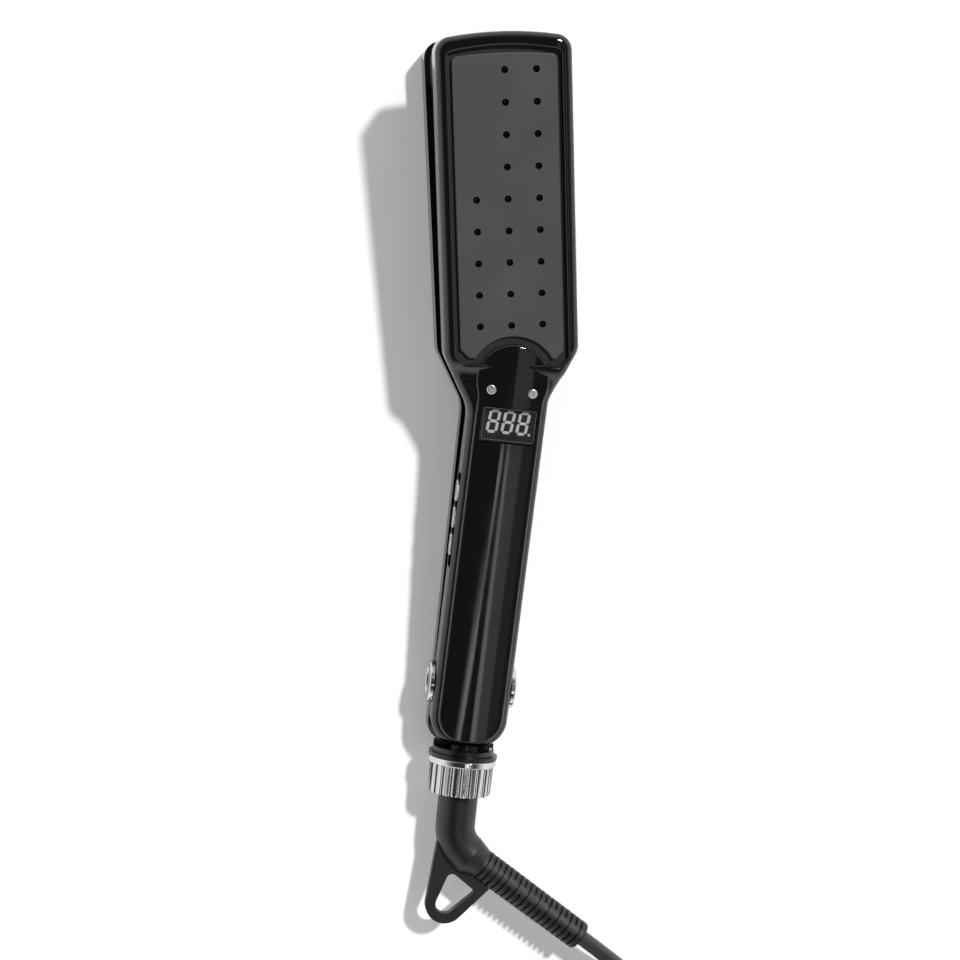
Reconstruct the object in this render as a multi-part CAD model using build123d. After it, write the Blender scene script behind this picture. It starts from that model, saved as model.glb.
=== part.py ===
"""Hair straightener with a head set at an angle to its handle, lying open on a level surface.

Millimetres, +Z up. The origin is on the surface, below the hinge pin. +Y runs along the handle
towards the head, +X to the right. Each arm is drawn shut, in its own frame: x and y as above,
and z, called depth here, counted outwards from the plane where the two arms meet.
"""

import os
from math import cos, radians, sin, tan

from build123d import *

# Whole object
MID = 14.5               # height of the hinge axis, and half the thickness of the shut arms
OPEN = 6.15              # degrees that the spring holds the upper arm open
BEND = 8.7               # degrees that the head is turned sideways against the handle
BEND_Y = 128.0           # place along the handle where the head turns
LIP = 0.9                # depth of the shell lips, so two lips leave a gap of twice this
WALL = 2.0
FIT = 0.3                # room between pieces that move past each other
SNUG = 0.1               # room between pieces of one assembly
RUN = 0.05               # radial room in a bearing
OVER = 1.0               # how far a cutting solid runs past the face that it cuts
MELD = 0.5               # how far a web runs into the wall that it joins
ACROSS = 60.0            # more than the object's reach to either side of the middle plane
LEVEL = 0.5              # an edge that rises less than this along its length isn't upright

# Handle
HANDLE_HALF = 15.8
HANDLE_REAR = -24.2
UPPER_REAR_R = 12.0
LOWER_REAR_R = 7.0
FLANK_DEPTH = 11.3       # outer face of the flat bands beside the crown
FLANK_ROUND = 3.4
CROWN_HALF = 13.4
CROWN_REAR = -21.6
CROWN_FRONT = 143.6
DOME_R = 14.9            # radius of the crown's round front end, a little wider than the crown
CROWN_R = 60.0           # radius of the crown across the handle
CROWN_TOP = MID + 0.03   # the crown would rise to this, and is cut level at MID
CROWN_ROUND = 1.3
CROWN_REAR_FLAT = 2.5    # half of the straight stretch of its rear edge
WAIST_R = 12.0           # rounding where the crown's sides run into the dome
CROWN_CORE = (9.0, -12.0, 133.0, 11.9)   # half width, rear, front and depth of its hollow
CORE_STEP_Y = 120.0      # in front of this its hollow is only as deep as the head's

# Head, in a frame turned by BEND about (0, BEND_Y): w across, v towards the tip
HEAD_HALF = 26.8
HEAD_SIDE_START = 11.9
HEAD_SIDE_END = 134.5
HEAD_TIP = 137.1
TIP_R = 6.5
SHOULDER_R = 9.0
FLARE_R = 13.0
FLARE_RIGHT_Y = 122.2
FLARE_LEFT_Y = 115.3
RIM_WIDTH = 4.4
PANEL_FLOOR = 11.9       # depth of the floor under the vent panel
PANEL_DEPTH = 13.5       # depth of the panel's outer face
PANEL_GAP = 1.7          # groove round the panel
RECESS_TIP = (129.3, 131.7)     # the recess's tip edge, at its corners and at its middle
PANEL_TIP = (127.8, 129.0)
FOOT = (7.4, 0.06)       # the recess's lower edge at the middle, and its slant across
FOOT_GAP = 2.4
PANEL_TIP_R, FOOT_R = 2.4, 1.2
FOOT_CUT = 3.4           # cut corners at both ends of the lower edge
DOME_GAP = 3.0           # groove between the crown's dome and the panel
RIM_INNER_ROUND = 0.85
PANEL_ROUND = 0.5
HEAD_INSET = 2.2         # thickness of the head's walls
FALL_Y = (127.5, 136.5)  # stretch where the head's rim falls to the level of the flanks
HOLE_R = 1.4
HOLE_PITCH = 12.42
HOLE_FIRST = 23.0
HOLE_ROWS = 9
HOLE_SHORT_ROWS = 5      # rows that have a hole in the left column too
HOLE_BOWL = 0.9          # depth of the shallow bowl in the shell under each hole

# Heated plate and what is behind it, in the head's frame
PLATE_HALF = 22.0
PLATE_START, PLATE_END = 14.0, 130.8
PLATE_FACE = 0.15
PLATE_THICK = 3.1
PLATE_CORNER_R, PLATE_ROUND = 2.0, 1.2
PLATE_FLANGE = 1.4
FLANGE_REACH, FLANGE_CORNER_R = 1.2, 4.5
PLATE_TRAVEL = 1.0
CARRIER_HALF = 24.4
CARRIER_START, CARRIER_END = 10.6, 133.4
CARRIER_CORNER_R = 5.0
CARRIER_LIP = (1.2, 2.9)
CARRIER_SCREW_X, CARRIER_HOLE_R = 18.0, 1.6
CARRIER_ROOM = 1.5       # pocket wall, counted outwards from the plate's face
CARRIER_CUT = (15.0, 14.0, 36.0)          # two cut-outs: half width, half length, place from the ends
TRAY_SCREW_R, TRAY_SCREW_HEAD = (2.4, 1.2), 0.8     # radii of head and shank, and the head's height
HEATER_HALF, HEATER_SHORT = 10.0, 14.0    # half width, and how far short of the plate's ends
HEATER_THICK = 1.6
CLAMP_HALF, CLAMP_SHORT = 11.5, 10.0
CLAMP_THICK = 0.6
CUSHION_HALF, CUSHION_SHORT = (3.0, 4.0), 12.0
SENSOR_R, SENSOR_LENGTH, SENSOR_W = 0.95, 6.0, 14.5
SENSOR_VS = (60.0, 84.0)                  # the upper arm's thermistor, the lower arm's thermal fuse
PLATE_BACK = PLATE_FACE + PLATE_THICK + PLATE_FLANGE
CLAMP_BACK = PLATE_BACK + HEATER_THICK + SNUG + CLAMP_THICK
CARRIER_WEB = (CLAMP_BACK + PLATE_TRAVEL + FIT, CLAMP_BACK + PLATE_TRAVEL + FIT + 1.8)

# Hinge
PIN_R = 2.0
PIN_END = 0.9            # how far the pin reaches past the handle's sides
EAR_R = 5.0
LOWER_EAR = (8.6, 11.2)
UPPER_EAR = (11.5, 13.5)
CAP_R = 8.7
CAP_DISC_R = 6.2
CAP_FACE = 17.9          # how far each cap reaches out from the middle plane
CAP_ROUND, CAP_SUNK = 0.7, 0.7
SPRING_Y = (38.0, 11.0, 36.0)    # lower foot, bend and upper tip of the opening spring
SPRING_BEND = ((-2.5, 3.0), (-1.0, 6.5))  # points of its bend, from the lower corner
SPRING_THICK, SPRING_HALF = 0.8, 3.5

# Display and screws on the crown
DISPLAY_Y = 110.6
DISPLAY_HALF = (11.25, 7.0)
LENS_DEPTH = (12.4, 14.1)
LENS_ROUND = 0.3
MODULE_DEPTH = (6.6, 12.3)
SCREW_Y, SCREW_X = 124.6, 8.25
SCREW_HEAD_R, SCREW_SHANK_R, SCREW_ROUND = 2.0, 0.95, 0.6
SCREW_DEPTHS = (7.2, 13.3, 14.2)    # end of the shank, seat of the head, top of the head
SCREW_SLOT = (0.3, 1.2, 13.8)       # half width, half length and floor of the driver slot

# Buttons on the left side of the upper handle
BUTTON_YS = (81.4, 70.4, 59.2)
BUTTON_NAMES = ("power_button", "minus_button", "plus_button")
BUTTON_SIZE = (8.6, 4.8)
BUTTON_CORNER_R, BUTTON_ROUND = 1.5, 0.4
BUTTON_D = 5.6
BUTTON_OUT = 16.5
BUTTON_TRAVEL = 0.6
BUTTON_FLANGE = (-13.7, -13.2)   # x of the flange behind the wall
BUTTON_FLANGE_REACH = 0.7
SWITCH_X = BUTTON_FLANGE[1] + BUTTON_TRAVEL + 2 * SNUG
SWITCH_RISE, SWITCH_HALF = 0.8, 1.6
BUTTON_BOARD_THICK, BUTTON_BOARD_TOP = 1.2, 8.8
RECESS_Y = (50.0, 88.8)
RECESS_DEPTH = 0.9
RECESS_SPAN = (2.2, 9.0)         # low and high edge of the sunk strip, as depths

# Covers over the inner faces of the two handles
COVER_DEPTH = (LIP, 2.4)
COVER_Y = (6.5, 126.0)
SPRING_SLOT = (4.6, 46.0)     # half width and far end

# Boards, each as its low and high corner, and the leads between them
CONTROL_BOARD = ((-9.8, 50.0, 4.9), (9.8, 120.0, 6.5))
REGULATOR = ((-5.0, 62.0, 6.5), (5.0, 72.0, 8.0))
RELAY = ((-6.0, 78.0, 6.5), (6.0, 92.0, 11.0))
POWER_BOARD = ((-8.8, 50.0, 7.6), (8.8, 112.0, 9.2))
TRANSFORMER = ((-7.0, 54.0, COVER_DEPTH[1] + FIT), (7.0, 68.0, 7.6))
TERMINAL = ((-6.0, 96.0, 3.4), (6.0, 104.0, 7.6))
CAPACITOR_R, CAPACITOR_Y, CAPACITOR_DEPTH = 2.4, (75.0, 89.0), 5.4
WIRE_LEAD_R, WIRE_LEAD_X, WIRE_LEAD_DEPTH = 0.9, 5.6, 8.2

# Neck, lock ring and swivel, all about the handle's axis
NECK_R, NECK_Y = 12.6, (-26.4, -28.6)
COLLAR_FLANGE_R, COLLAR_FLANGE_Y = 14.2, (-28.6, -30.1)
NOSE_R, NOSE_Y, NOSE_LIP = 7.6, -19.7, 1.5
JOURNAL_R, JOURNAL_END = 9.0, -44.0
RING_FLANGE_R, RING_FLANGE_Y = 14.2, (-30.2, -33.0)
RING_R, RING_END_R, RING_END = 13.2, 12.9, -45.2
RING_ROUND = 0.6
FLUTES = 22
FLUTE_R, FLUTE_OUT = 1.5, 0.25   # radius of each flute, and how far outside the ring its axis runs
LOCK_R, LOCK_RAD, LOCK_TURN = 0.9, 11.0, 19.0   # bolt radius, distance from the axis, degrees up
LOCK_Y = (-32.0, -25.1)          # the bolt drawn back; it slides 3 forward to lock
LOCK_ROUND = 0.4
LOCK_X = LOCK_RAD * cos(radians(LOCK_TURN))
LOCK_DEPTH = LOCK_RAD * sin(radians(LOCK_TURN))
CAM_Y = LOCK_Y[0] - 0.8
SPINDLE_R, SPINDLE_HEAD_R, SPINDLE_HEAD_Y = 6.0, 6.9, -17.2
SPINDLE_TAIL_R, SPINDLE_TAIL_Y = 4.6, -57.0
WIRE_R = 2.5
BRUSH_BLOCK = (6.0, 2.0, 5.0, 5.0)   # half width, front and back from the spindle's head, and top
BRUSH_R, BRUSH_X, BRUSH_REACH = 1.0, 4.2, 2.5
CLIP_R, CLIP_SEAT_R, CLIP_MOUTH = 10.4, 8.2, 1.6
CLIP_Y = (-43.15, -43.65)

# Elbow, hang loop and strain relief
ELBOW_R, ELBOW_START = 8.2, -44.5
ELBOW_OUT_R = 6.6
CORNER_Y = -66.9
TURN = 58.2              # degrees from the handle's axis to the strain relief
ELBOW_BEND_R = 15.0
RELIEF = (14.0, 67.9)    # start and end, counted from the corner
RELIEF_R = (6.5, 6.1)
RELIEF_ROUND = 1.2
GROOVES = 19
GROOVE_FIRST, GROOVE_PITCH = 1.4, 2.72   # first groove after the sleeve's start, and their spacing
GROOVE_SIZE = (1.1, 1.3) # width and depth
FULL_GROOVES = 5         # after these, every second groove stops at two opposite lands
LAND_WIDTH, LAND_TURN = 3.6, -16.0       # width, and degrees from straight up
LOOP_THICK = 4.0
LOOP_WEB = (((-0.9, -92.4), 8.2), ((-4.6, -67.0), 2.4), ((14.4, -83.1), 3.0))
LOOP_HOLE = (((-0.9, -92.4), 4.0), ((0.9, -82.0), 2.4), ((8.9, -86.5), 1.5))

# Cord, coil and plug
CORD_D = 6.5
CORD_Z = CORD_D / 2
EXIT_RUN = 15.0          # the cord leaves the strain relief straight for this far
ARC_SHARE = 0.45         # share of the shorter run that the arc at each point takes up
COIL_CENTRE = (86.0, -175.0)
COIL_TURNS = (4, 4, 3)   # turns in each layer, from the surface up
COIL_OUTER = 44.7        # radius of the outermost turn's centre line
COIL_ROUND = 2.5
PLUG_PLACE = (110.0, -145.2)
PLUG_BODY = (35.0, 24.0, 40.0)
PLUG_SIDE_R, PLUG_ROUND = 11.0, 2.0
PLUG_RELIEF = (5.2, 3.8, 20.0)
LEAD_DEPTH = 8.0         # how far the lead's end reaches into the plug's tail
PLUG_PIN = (2.4, 19.0)   # radius and length
PLUG_PIN_GAP = 18.6
PLUG_PIN_ROUND = 1.6

HEAD_FRAME = Pos(0, BEND_Y, 0) * Rot(0, 0, BEND)
nodes = {}


def to_row(w, v):
    """A point of the head's frame, as x and y."""
    turned = Vector(w, v).rotate(Axis.Z, BEND)
    return (turned.X, BEND_Y + turned.Y)


def slab(face, low, high):
    """The face as a solid between two depths."""
    return extrude(Pos(0, 0, low) * face, high - low)


def block(low, high):
    """A box between two corners."""
    size = [b - a for a, b in zip(low, high)]
    return Pos(*low) * Box(*size, align=(Align.MIN,) * 3)


def rod(radius, y_a, y_b, x=0.0, depth=0.0):
    """A round bar along Y."""
    length = abs(y_b - y_a)
    return Pos(x, (y_a + y_b) / 2, depth) * Rot(90, 0, 0) * Cylinder(radius, length)


def cross_rod(radius, x_a, x_b):
    """A round bar along X, about the hinge axis."""
    return Pos((x_a + x_b) / 2, 0, 0) * Rot(0, 90, 0) * Cylinder(radius, abs(x_b - x_a))


def post(radius, low, high, x=0.0, y=0.0):
    """An upright round bar between two depths."""
    return Pos(x, y, (low + high) / 2) * Cylinder(radius, high - low)


def rounded(shape, edges, radius):
    """The shape with the edges rounded, which are those that the list picks."""
    return fillet(edges, radius) if edges else shape


def raise_upper(shape):
    """From an arm's own frame to the upper arm's place, held open."""
    return Pos(0, 0, MID) * Rot(OPEN, 0, 0) * shape


def lay_lower(shape):
    """From an arm's own frame to the lower arm's place, on the surface."""
    return Pos(0, 0, MID) * mirror(shape, Plane.XY)


def at_mid(shape):
    """From the axis of the neck to its height."""
    return Pos(0, 0, MID) * shape


def round_corners(face, corners):
    """The face with some corners rounded: corners pairs each one's place with its radius."""
    for place, radius in corners:
        vertex = face.vertices().sort_by_distance(Vector(*place))[0]
        face = fillet(vertex, radius)
    return face


def head_points(inset=0.0):
    """The head's corners: left and right where its straight sides start, then where they end."""
    half, end = HEAD_HALF - inset, HEAD_SIDE_END - inset
    starts = [to_row(side * half, HEAD_SIDE_START) for side in (-1, 1)]
    return starts + [to_row(side * half, end) for side in (-1, 1)]


def arm_face(inset=0.0, rear_r=UPPER_REAR_R):
    """Plan of a whole arm: straight handle, slanting shoulders, straight head and an arched tip."""
    half, rear = HANDLE_HALF - inset, HANDLE_REAR + inset
    left, right, tip_left, tip_right = head_points(inset)
    flares = [(-half, FLARE_LEFT_Y), (half, FLARE_RIGHT_Y)]
    rears = [(-half, rear), (half, rear)]
    sides = Polyline(tip_left, left, flares[0], rears[0], rears[1], flares[1], right, tip_right)
    face = make_face(Curve() + [sides, ThreePointArc(tip_right, to_row(0, HEAD_TIP - inset), tip_left)])
    corners = [(place, rear_r - inset / 2) for place in rears]
    corners += [(place, FLARE_R) for place in flares]
    corners += [(place, SHOULDER_R) for place in (left, right)]
    corners += [(place, TIP_R - inset / 2) for place in (tip_left, tip_right)]
    return round_corners(face, corners)


def head_face(inset=0.0):
    """Plan of the head alone, cut off square where its straight sides start."""
    left, right, tip_left, tip_right = head_points(inset)
    arc = ThreePointArc(tip_right, to_row(0, HEAD_TIP - inset), tip_left)
    face = make_face(Curve() + [Polyline(tip_left, left, right, tip_right), arc])
    return round_corners(face, [(place, TIP_R - inset / 2) for place in (tip_left, tip_right)])


def crown_face(inset=0.0):
    """Plan of the crown: a long bar with a round dome in front and a wide U at the rear."""
    half, rear = CROWN_HALF - inset, CROWN_REAR + inset
    dome_y = CROWN_FRONT - DOME_R
    bar = make_face(Polyline((-half, rear), (half, rear), (half, dome_y), (-half, dome_y), close=True))
    bar = fillet([v for v in bar.vertices() if v.Y < 0], half - CROWN_REAR_FLAT)
    face = bar + Pos(0, dome_y) * Circle(DOME_R - inset)
    waist = [v for v in face.vertices() if 0 < v.Y < dome_y - OVER]
    return fillet(waist, WAIST_R)


def crown():
    """The raised gloss crown of the handle, rounded across and cut level along its top."""
    low, high = CROWN_CORE[3] - WALL, MID + OVER
    across = rod(CROWN_R, CROWN_REAR - OVER, CROWN_FRONT + OVER, depth=CROWN_TOP - CROWN_R)
    body = slab(crown_face(), low, high) & across
    top = [e for e in body.edges() if (e @ 0.5).Z > FLANK_DEPTH and abs((e % 0.5).Z) < LEVEL]
    body = fillet(top, CROWN_ROUND)
    return body & slab(crown_face(-OVER), low, MID)


def panel_plan(half, tip, foot, cut):
    """Plan of the sunk panel or its recess: arched tip, straight sides and a cut-cornered lower edge."""
    slant = FOOT[1]
    corner_v, middle_v = tip
    sides = Polyline(
        (-half, corner_v),
        (-half, foot + slant * half + cut),
        (-half + cut, foot + slant * (half - cut)),
        (half - cut, foot - slant * (half - cut)),
        (half, foot - slant * half + cut),
        (half, corner_v),
    )
    face = make_face(Curve() + [sides, ThreePointArc((half, corner_v), (0, middle_v), (-half, corner_v))])
    tip_corners = [v for v in face.vertices() if v.Y > corner_v - OVER]
    face = fillet(tip_corners, PANEL_TIP_R)
    return HEAD_FRAME * fillet([v for v in face.vertices() if v.Y < foot + 2 * cut], FOOT_R)


def panel_recess():
    """Plan of the recess inside the head's rim."""
    return panel_plan(HEAD_HALF - RIM_WIDTH, RECESS_TIP, FOOT[0], FOOT_CUT)


def hole_places():
    """Places of the vent holes: three columns, the left one only in the rows near the neck."""
    for row in range(HOLE_ROWS):
        for column in (-1, 0, 1):
            if column >= 0 or row < HOLE_SHORT_ROWS:
                yield to_row(column * HOLE_PITCH, HOLE_FIRST + row * HOLE_PITCH)


def side_profile():
    """The arm seen from the side, without its crown: level flanks that rise in a soft S to the head."""
    low, high = FALL_Y
    middle = ((low + high) / 2, (FLANK_DEPTH + MID) / 2)
    end = HEAD_TIP + BEND_Y + OVER
    edges = [
        Line((low, FLANK_DEPTH), (HANDLE_REAR - OVER, FLANK_DEPTH)),
        Line((HANDLE_REAR - OVER, FLANK_DEPTH), (HANDLE_REAR - OVER, LIP)),
        Line((HANDLE_REAR - OVER, LIP), (end, LIP)),
        Line((end, LIP), (end, MID)),
        Line((end, MID), (high, MID)),
        TangentArc((low, FLANK_DEPTH), middle, tangent=(1, 0)),
        TangentArc((high, MID), middle, tangent=(-1, 0)),
    ]
    return extrude(Plane.YZ * make_face(Curve() + edges), ACROSS, both=True)


def outer_form(rear_r):
    """The outside of one arm, with a rounded upper edge."""
    body = slab(arm_face(rear_r=rear_r), LIP, MID) & side_profile()
    walls = [f for f in body.faces() if abs(f.normal_at(f.center()).Z) < 0.01]
    wall_edges = [e for f in walls for e in f.edges() if e.center().Z > LIP + WALL]
    top = [e for e in wall_edges if abs((e % 0.5).Z) < LEVEL]
    return fillet(top, FLANK_ROUND)


def shell(rear_r):
    """One arm's moulded shell, with its hollow, panel recess and pin hole."""
    body = outer_form(rear_r)
    body -= slab(panel_recess(), PANEL_FLOOR, MID + OVER)
    lip = [e for e in body.edges() if e.center().Z > MID - 0.01]
    recess = panel_recess().face().outer_wire()
    lip = [e for e in lip if recess.distance_to(e @ 0.5 - Vector(0, 0, MID)) < 0.05]
    body = rounded(body, lip, RIM_INNER_ROUND)
    for x, y in hole_places():
        body -= Pos(x, y, PANEL_FLOOR + HOLE_R - HOLE_BOWL) * Sphere(HOLE_R)
    body += crown()
    body -= slab(arm_face(WALL, rear_r), 0, FLANK_DEPTH - WALL)
    body -= slab(head_face(HEAD_INSET), 0, CARRIER_WEB[1] + SNUG)
    half, rear, front, depth = CROWN_CORE
    body -= block((-half, rear, 0), (half, front, CARRIER_WEB[1] + SNUG))
    body -= block((-half, rear, 0), (half, CORE_STEP_Y, depth))
    return body - cross_rod(PIN_R + FIT, -HANDLE_HALF - OVER, HANDLE_HALF + OVER)


def ears(span):
    """Two hinge ears between the two distances from the middle plane."""
    near, far = span
    pair = []
    for side in (-1, 1):
        plate = cross_rod(EAR_R, side * near, side * far)
        web_low, web_high = sorted((side * near, side * far))
        plate += block((web_low, -EAR_R, 0), (web_high, EAR_R, FLANK_DEPTH - WALL + MELD))
        pair.append(plate - cross_rod(PIN_R + RUN, side * (near - OVER), side * (far + OVER)))
    return pair[0] + pair[1]


def lower_shell():
    """The lower shell: ears for the pin, and a cradle that holds the neck collar."""
    body = shell(LOWER_REAR_R) + ears(LOWER_EAR)
    body -= rod(NOSE_R + SNUG, HANDLE_REAR - OVER, HANDLE_REAR + WALL + OVER)
    return lay_lower(body)


def upper_shell():
    """The upper shell: ears, button recess, display window, and room for its tail to drop."""
    body = shell(UPPER_REAR_R) + ears(UPPER_EAR)
    drop = abs(HANDLE_REAR) * tan(radians(OPEN))
    back, front = HANDLE_REAR - OVER, HANDLE_REAR + WALL + OVER
    wedge = make_face(Polyline((0, -OVER), (back, -OVER), (back, drop + LIP / 2), (0, LIP), close=True))
    wedge = extrude(Plane.YZ * wedge, HANDLE_HALF + OVER, both=True)
    ear_reach = UPPER_EAR[1] + FIT
    ear_room = block((-ear_reach, -EAR_R - FIT, -2 * OVER), (ear_reach, OVER, LIP + EAR_R))
    body -= wedge - ear_room
    nose_room = SPINDLE_R + FIT + drop
    body -= block((-NOSE_R - FIT, back, 0), (NOSE_R + FIT, front, nose_room))
    bolt_room = LOCK_DEPTH + LOCK_R + drop + FIT
    body -= block((LOCK_X - LOCK_R - FIT, back, 0), (LOCK_X + LOCK_R + FIT, front, bolt_room))
    half_x, half_y = DISPLAY_HALF[0] + SNUG, DISPLAY_HALF[1] + SNUG
    body -= block((-half_x, DISPLAY_Y - half_y, MODULE_DEPTH[0]), (half_x, DISPLAY_Y + half_y, MID + OVER))
    end, seat, top = SCREW_DEPTHS
    for x in (-SCREW_X, SCREW_X):
        body -= post(SCREW_HEAD_R + SNUG, seat - SNUG, top + 2 * OVER, x, SCREW_Y)
        body -= post(SCREW_SHANK_R + SNUG, end - OVER, seat + SNUG, x, SCREW_Y)
    outside, inside = -HANDLE_HALF - OVER, -HANDLE_HALF + WALL + OVER
    recess_floor = -HANDLE_HALF + RECESS_DEPTH
    body -= block((outside, RECESS_Y[0], RECESS_SPAN[0]), (recess_floor, RECESS_Y[1], RECESS_SPAN[1]))
    long, tall = BUTTON_SIZE[0] / 2 + SNUG, BUTTON_SIZE[1] / 2 + SNUG
    for y in BUTTON_YS:
        body -= block((outside, y - long, BUTTON_D - tall), (inside, y + long, BUTTON_D + tall))
    return raise_upper(body)


def vent_panel():
    """The satin panel set into the head, notched round the crown's dome, with its round vent holes."""
    dome = Pos(0, CROWN_FRONT - DOME_R, 0) * Circle(DOME_R + DOME_GAP)
    plan = panel_plan(HEAD_HALF - RIM_WIDTH - PANEL_GAP, PANEL_TIP, FOOT[0] + FOOT_GAP, FOOT_CUT)
    body = slab(plan - dome, PANEL_FLOOR, PANEL_DEPTH)
    top = [e for e in body.edges() if e.center().Z > PANEL_DEPTH - 0.01]
    body = rounded(body, top, PANEL_ROUND)
    for x, y in hole_places():
        body -= post(HOLE_R, PANEL_FLOOR - OVER, PANEL_DEPTH + OVER, x, y)
    return body


def plate():
    """The heated plate: a face with rounded edges on a wider flange that the carrier holds."""
    face_low, face_high = PLATE_FACE, PLATE_FACE + PLATE_THICK
    face = block((-PLATE_HALF, PLATE_START, face_low), (PLATE_HALF, PLATE_END, face_high))
    face = fillet(face.edges().filter_by(Axis.Z), PLATE_CORNER_R)
    face = fillet([e for e in face.edges() if e.center().Z < face_low + 0.01], PLATE_ROUND)
    reach = FLANGE_REACH
    flange = block((-PLATE_HALF - reach, PLATE_START - reach, face_high),
                   (PLATE_HALF + reach, PLATE_END + reach, face_high + PLATE_FLANGE))
    flange = fillet(flange.edges().filter_by(Axis.Z), FLANGE_CORNER_R)
    return HEAD_FRAME * (face + flange)


def heater():
    """The flat ceramic heater that lies on the back of the plate."""
    low = PLATE_BACK
    near, far = PLATE_START + HEATER_SHORT, PLATE_END - HEATER_SHORT
    return HEAD_FRAME * block((-HEATER_HALF, near, low), (HEATER_HALF, far, low + HEATER_THICK))


def heater_clamp():
    """The sprung steel strip over the heater, with a leg at each end."""
    low, top = PLATE_BACK, PLATE_BACK + HEATER_THICK + SNUG
    near, far = PLATE_START + CLAMP_SHORT, PLATE_END - CLAMP_SHORT
    strip = block((-CLAMP_HALF, near, top), (CLAMP_HALF, far, top + CLAMP_THICK))
    for v in (near, far - CLAMP_THICK):
        strip += block((-CLAMP_HALF, v, low), (CLAMP_HALF, v + CLAMP_THICK, top + CLAMP_THICK))
    return HEAD_FRAME * strip


def sensor(v):
    """The small glass bead sensor beside the heater."""
    low, high = v - SENSOR_LENGTH / 2, v + SENSOR_LENGTH / 2
    return HEAD_FRAME * rod(SENSOR_R, low, high, SENSOR_W, PLATE_BACK + SENSOR_R + RUN)


def cushions():
    """Four silicone blocks that push the plate outwards."""
    low, high = PLATE_BACK, CARRIER_WEB[0]
    half_x, half_v = CUSHION_HALF
    group = [
        block((x - half_x, v - half_v, low), (x + half_x, v + half_v, high))
        for x in (-CARRIER_SCREW_X, CARRIER_SCREW_X)
        for v in (PLATE_START + CUSHION_SHORT, PLATE_END - CUSHION_SHORT)
    ]
    return HEAD_FRAME * Compound(children=group)


def carrier():
    """The heat-proof tray that the plate floats in."""
    low, high = CARRIER_LIP[0], CARRIER_WEB[1]
    body = block((-CARRIER_HALF, CARRIER_START, low), (CARRIER_HALF, CARRIER_END, high))
    body = fillet(body.edges().filter_by(Axis.Z), CARRIER_CORNER_R)
    window = block((-PLATE_HALF - FIT, PLATE_START - FIT, 0),
                   (PLATE_HALF + FIT, PLATE_END + FIT, CARRIER_LIP[1] + OVER))
    room = CARRIER_ROOM
    pocket = block((-PLATE_HALF - room, PLATE_START - room, CARRIER_LIP[1]),
                   (PLATE_HALF + room, PLATE_END + room, CARRIER_WEB[0]))
    body -= window + pocket
    half, half_v, place = CARRIER_CUT
    for v in (PLATE_START + place, PLATE_END - place):
        body -= block((-half, v - half_v, CARRIER_WEB[0] - OVER), (half, v + half_v, high + OVER))
    for x in (-CARRIER_SCREW_X, CARRIER_SCREW_X):
        body -= post(CARRIER_HOLE_R, CARRIER_LIP[0], high + OVER, x, (PLATE_START + PLATE_END) / 2)
    return HEAD_FRAME * body & slab(head_face(HEAD_INSET + SNUG), 0, MID)


def carrier_screws():
    """Two screws that hold the tray in its shell."""
    middle = (PLATE_START + PLATE_END) / 2
    head_r, shank_r = TRAY_SCREW_R
    head_top, tip = CARRIER_WEB[0] - SNUG, CARRIER_WEB[1]
    low = head_top - TRAY_SCREW_HEAD
    group = [
        post(head_r, low, head_top, x, middle) + post(shank_r, head_top, tip, x, middle)
        for x in (-CARRIER_SCREW_X, CARRIER_SCREW_X)
    ]
    return HEAD_FRAME * Compound(children=group)


def display_lens():
    """The clear window over the digits."""
    half_x, half_y = DISPLAY_HALF
    low, high = LENS_DEPTH
    body = block((-half_x, DISPLAY_Y - half_y, low), (half_x, DISPLAY_Y + half_y, high))
    return fillet([e for e in body.edges() if e.center().Z > high - 0.01], LENS_ROUND)


def display_module():
    """The three-digit module behind the window."""
    half_x, half_y = DISPLAY_HALF
    low, high = MODULE_DEPTH
    half_x, half_y = half_x - 2 * SNUG, half_y - 2 * SNUG
    return block((-half_x, DISPLAY_Y - half_y, low), (half_x, DISPLAY_Y + half_y, high))


def control_board():
    """The board under the display, with its regulator chip and relay."""
    return block(*CONTROL_BOARD) + block(*REGULATOR) + block(*RELAY)


def button_board():
    """The upright strip that carries the three small switches."""
    face, half = SWITCH_X + SWITCH_RISE, SWITCH_HALF
    board = block((face, RECESS_Y[0] + WALL, COVER_DEPTH[1] + FIT),
                  (face + BUTTON_BOARD_THICK, RECESS_Y[1] - WALL, BUTTON_BOARD_TOP))
    for y in BUTTON_YS:
        board += block((SWITCH_X, y - half, BUTTON_D - half), (face, y + half, BUTTON_D + half))
    return board


def button(y):
    """One button: a rounded cap with a flange behind the wall."""
    long, tall = BUTTON_SIZE
    near, far = BUTTON_FLANGE
    cap = block((-BUTTON_OUT, y - long / 2, BUTTON_D - tall / 2), (near, y + long / 2, BUTTON_D + tall / 2))
    cap = fillet(cap.edges().filter_by(Axis.X), BUTTON_CORNER_R)
    cap = fillet([e for e in cap.edges() if e.center().X < -BUTTON_OUT + 0.01], BUTTON_ROUND)
    edge = BUTTON_FLANGE_REACH
    flange = block((near, y - long / 2 - edge, BUTTON_D - tall / 2 - edge),
                   (far, y + long / 2 + edge, BUTTON_D + tall / 2 + edge))
    return raise_upper(cap + flange)


def crown_screws():
    """The two bright pan-head screws above the display."""
    end, seat, top = SCREW_DEPTHS
    half_width, half_length, slot_floor = SCREW_SLOT
    group = []
    for x in (-SCREW_X, SCREW_X):
        head = post(SCREW_HEAD_R, seat, top, x, SCREW_Y)
        head = fillet([e for e in head.edges() if e.center().Z > top - 0.01], SCREW_ROUND)
        head -= block((x - half_width, SCREW_Y - half_length, slot_floor),
                      (x + half_width, SCREW_Y + half_length, top + OVER))
        group.append(head + post(SCREW_SHANK_R, end, seat, x, SCREW_Y))
    return Compound(children=group)


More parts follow.
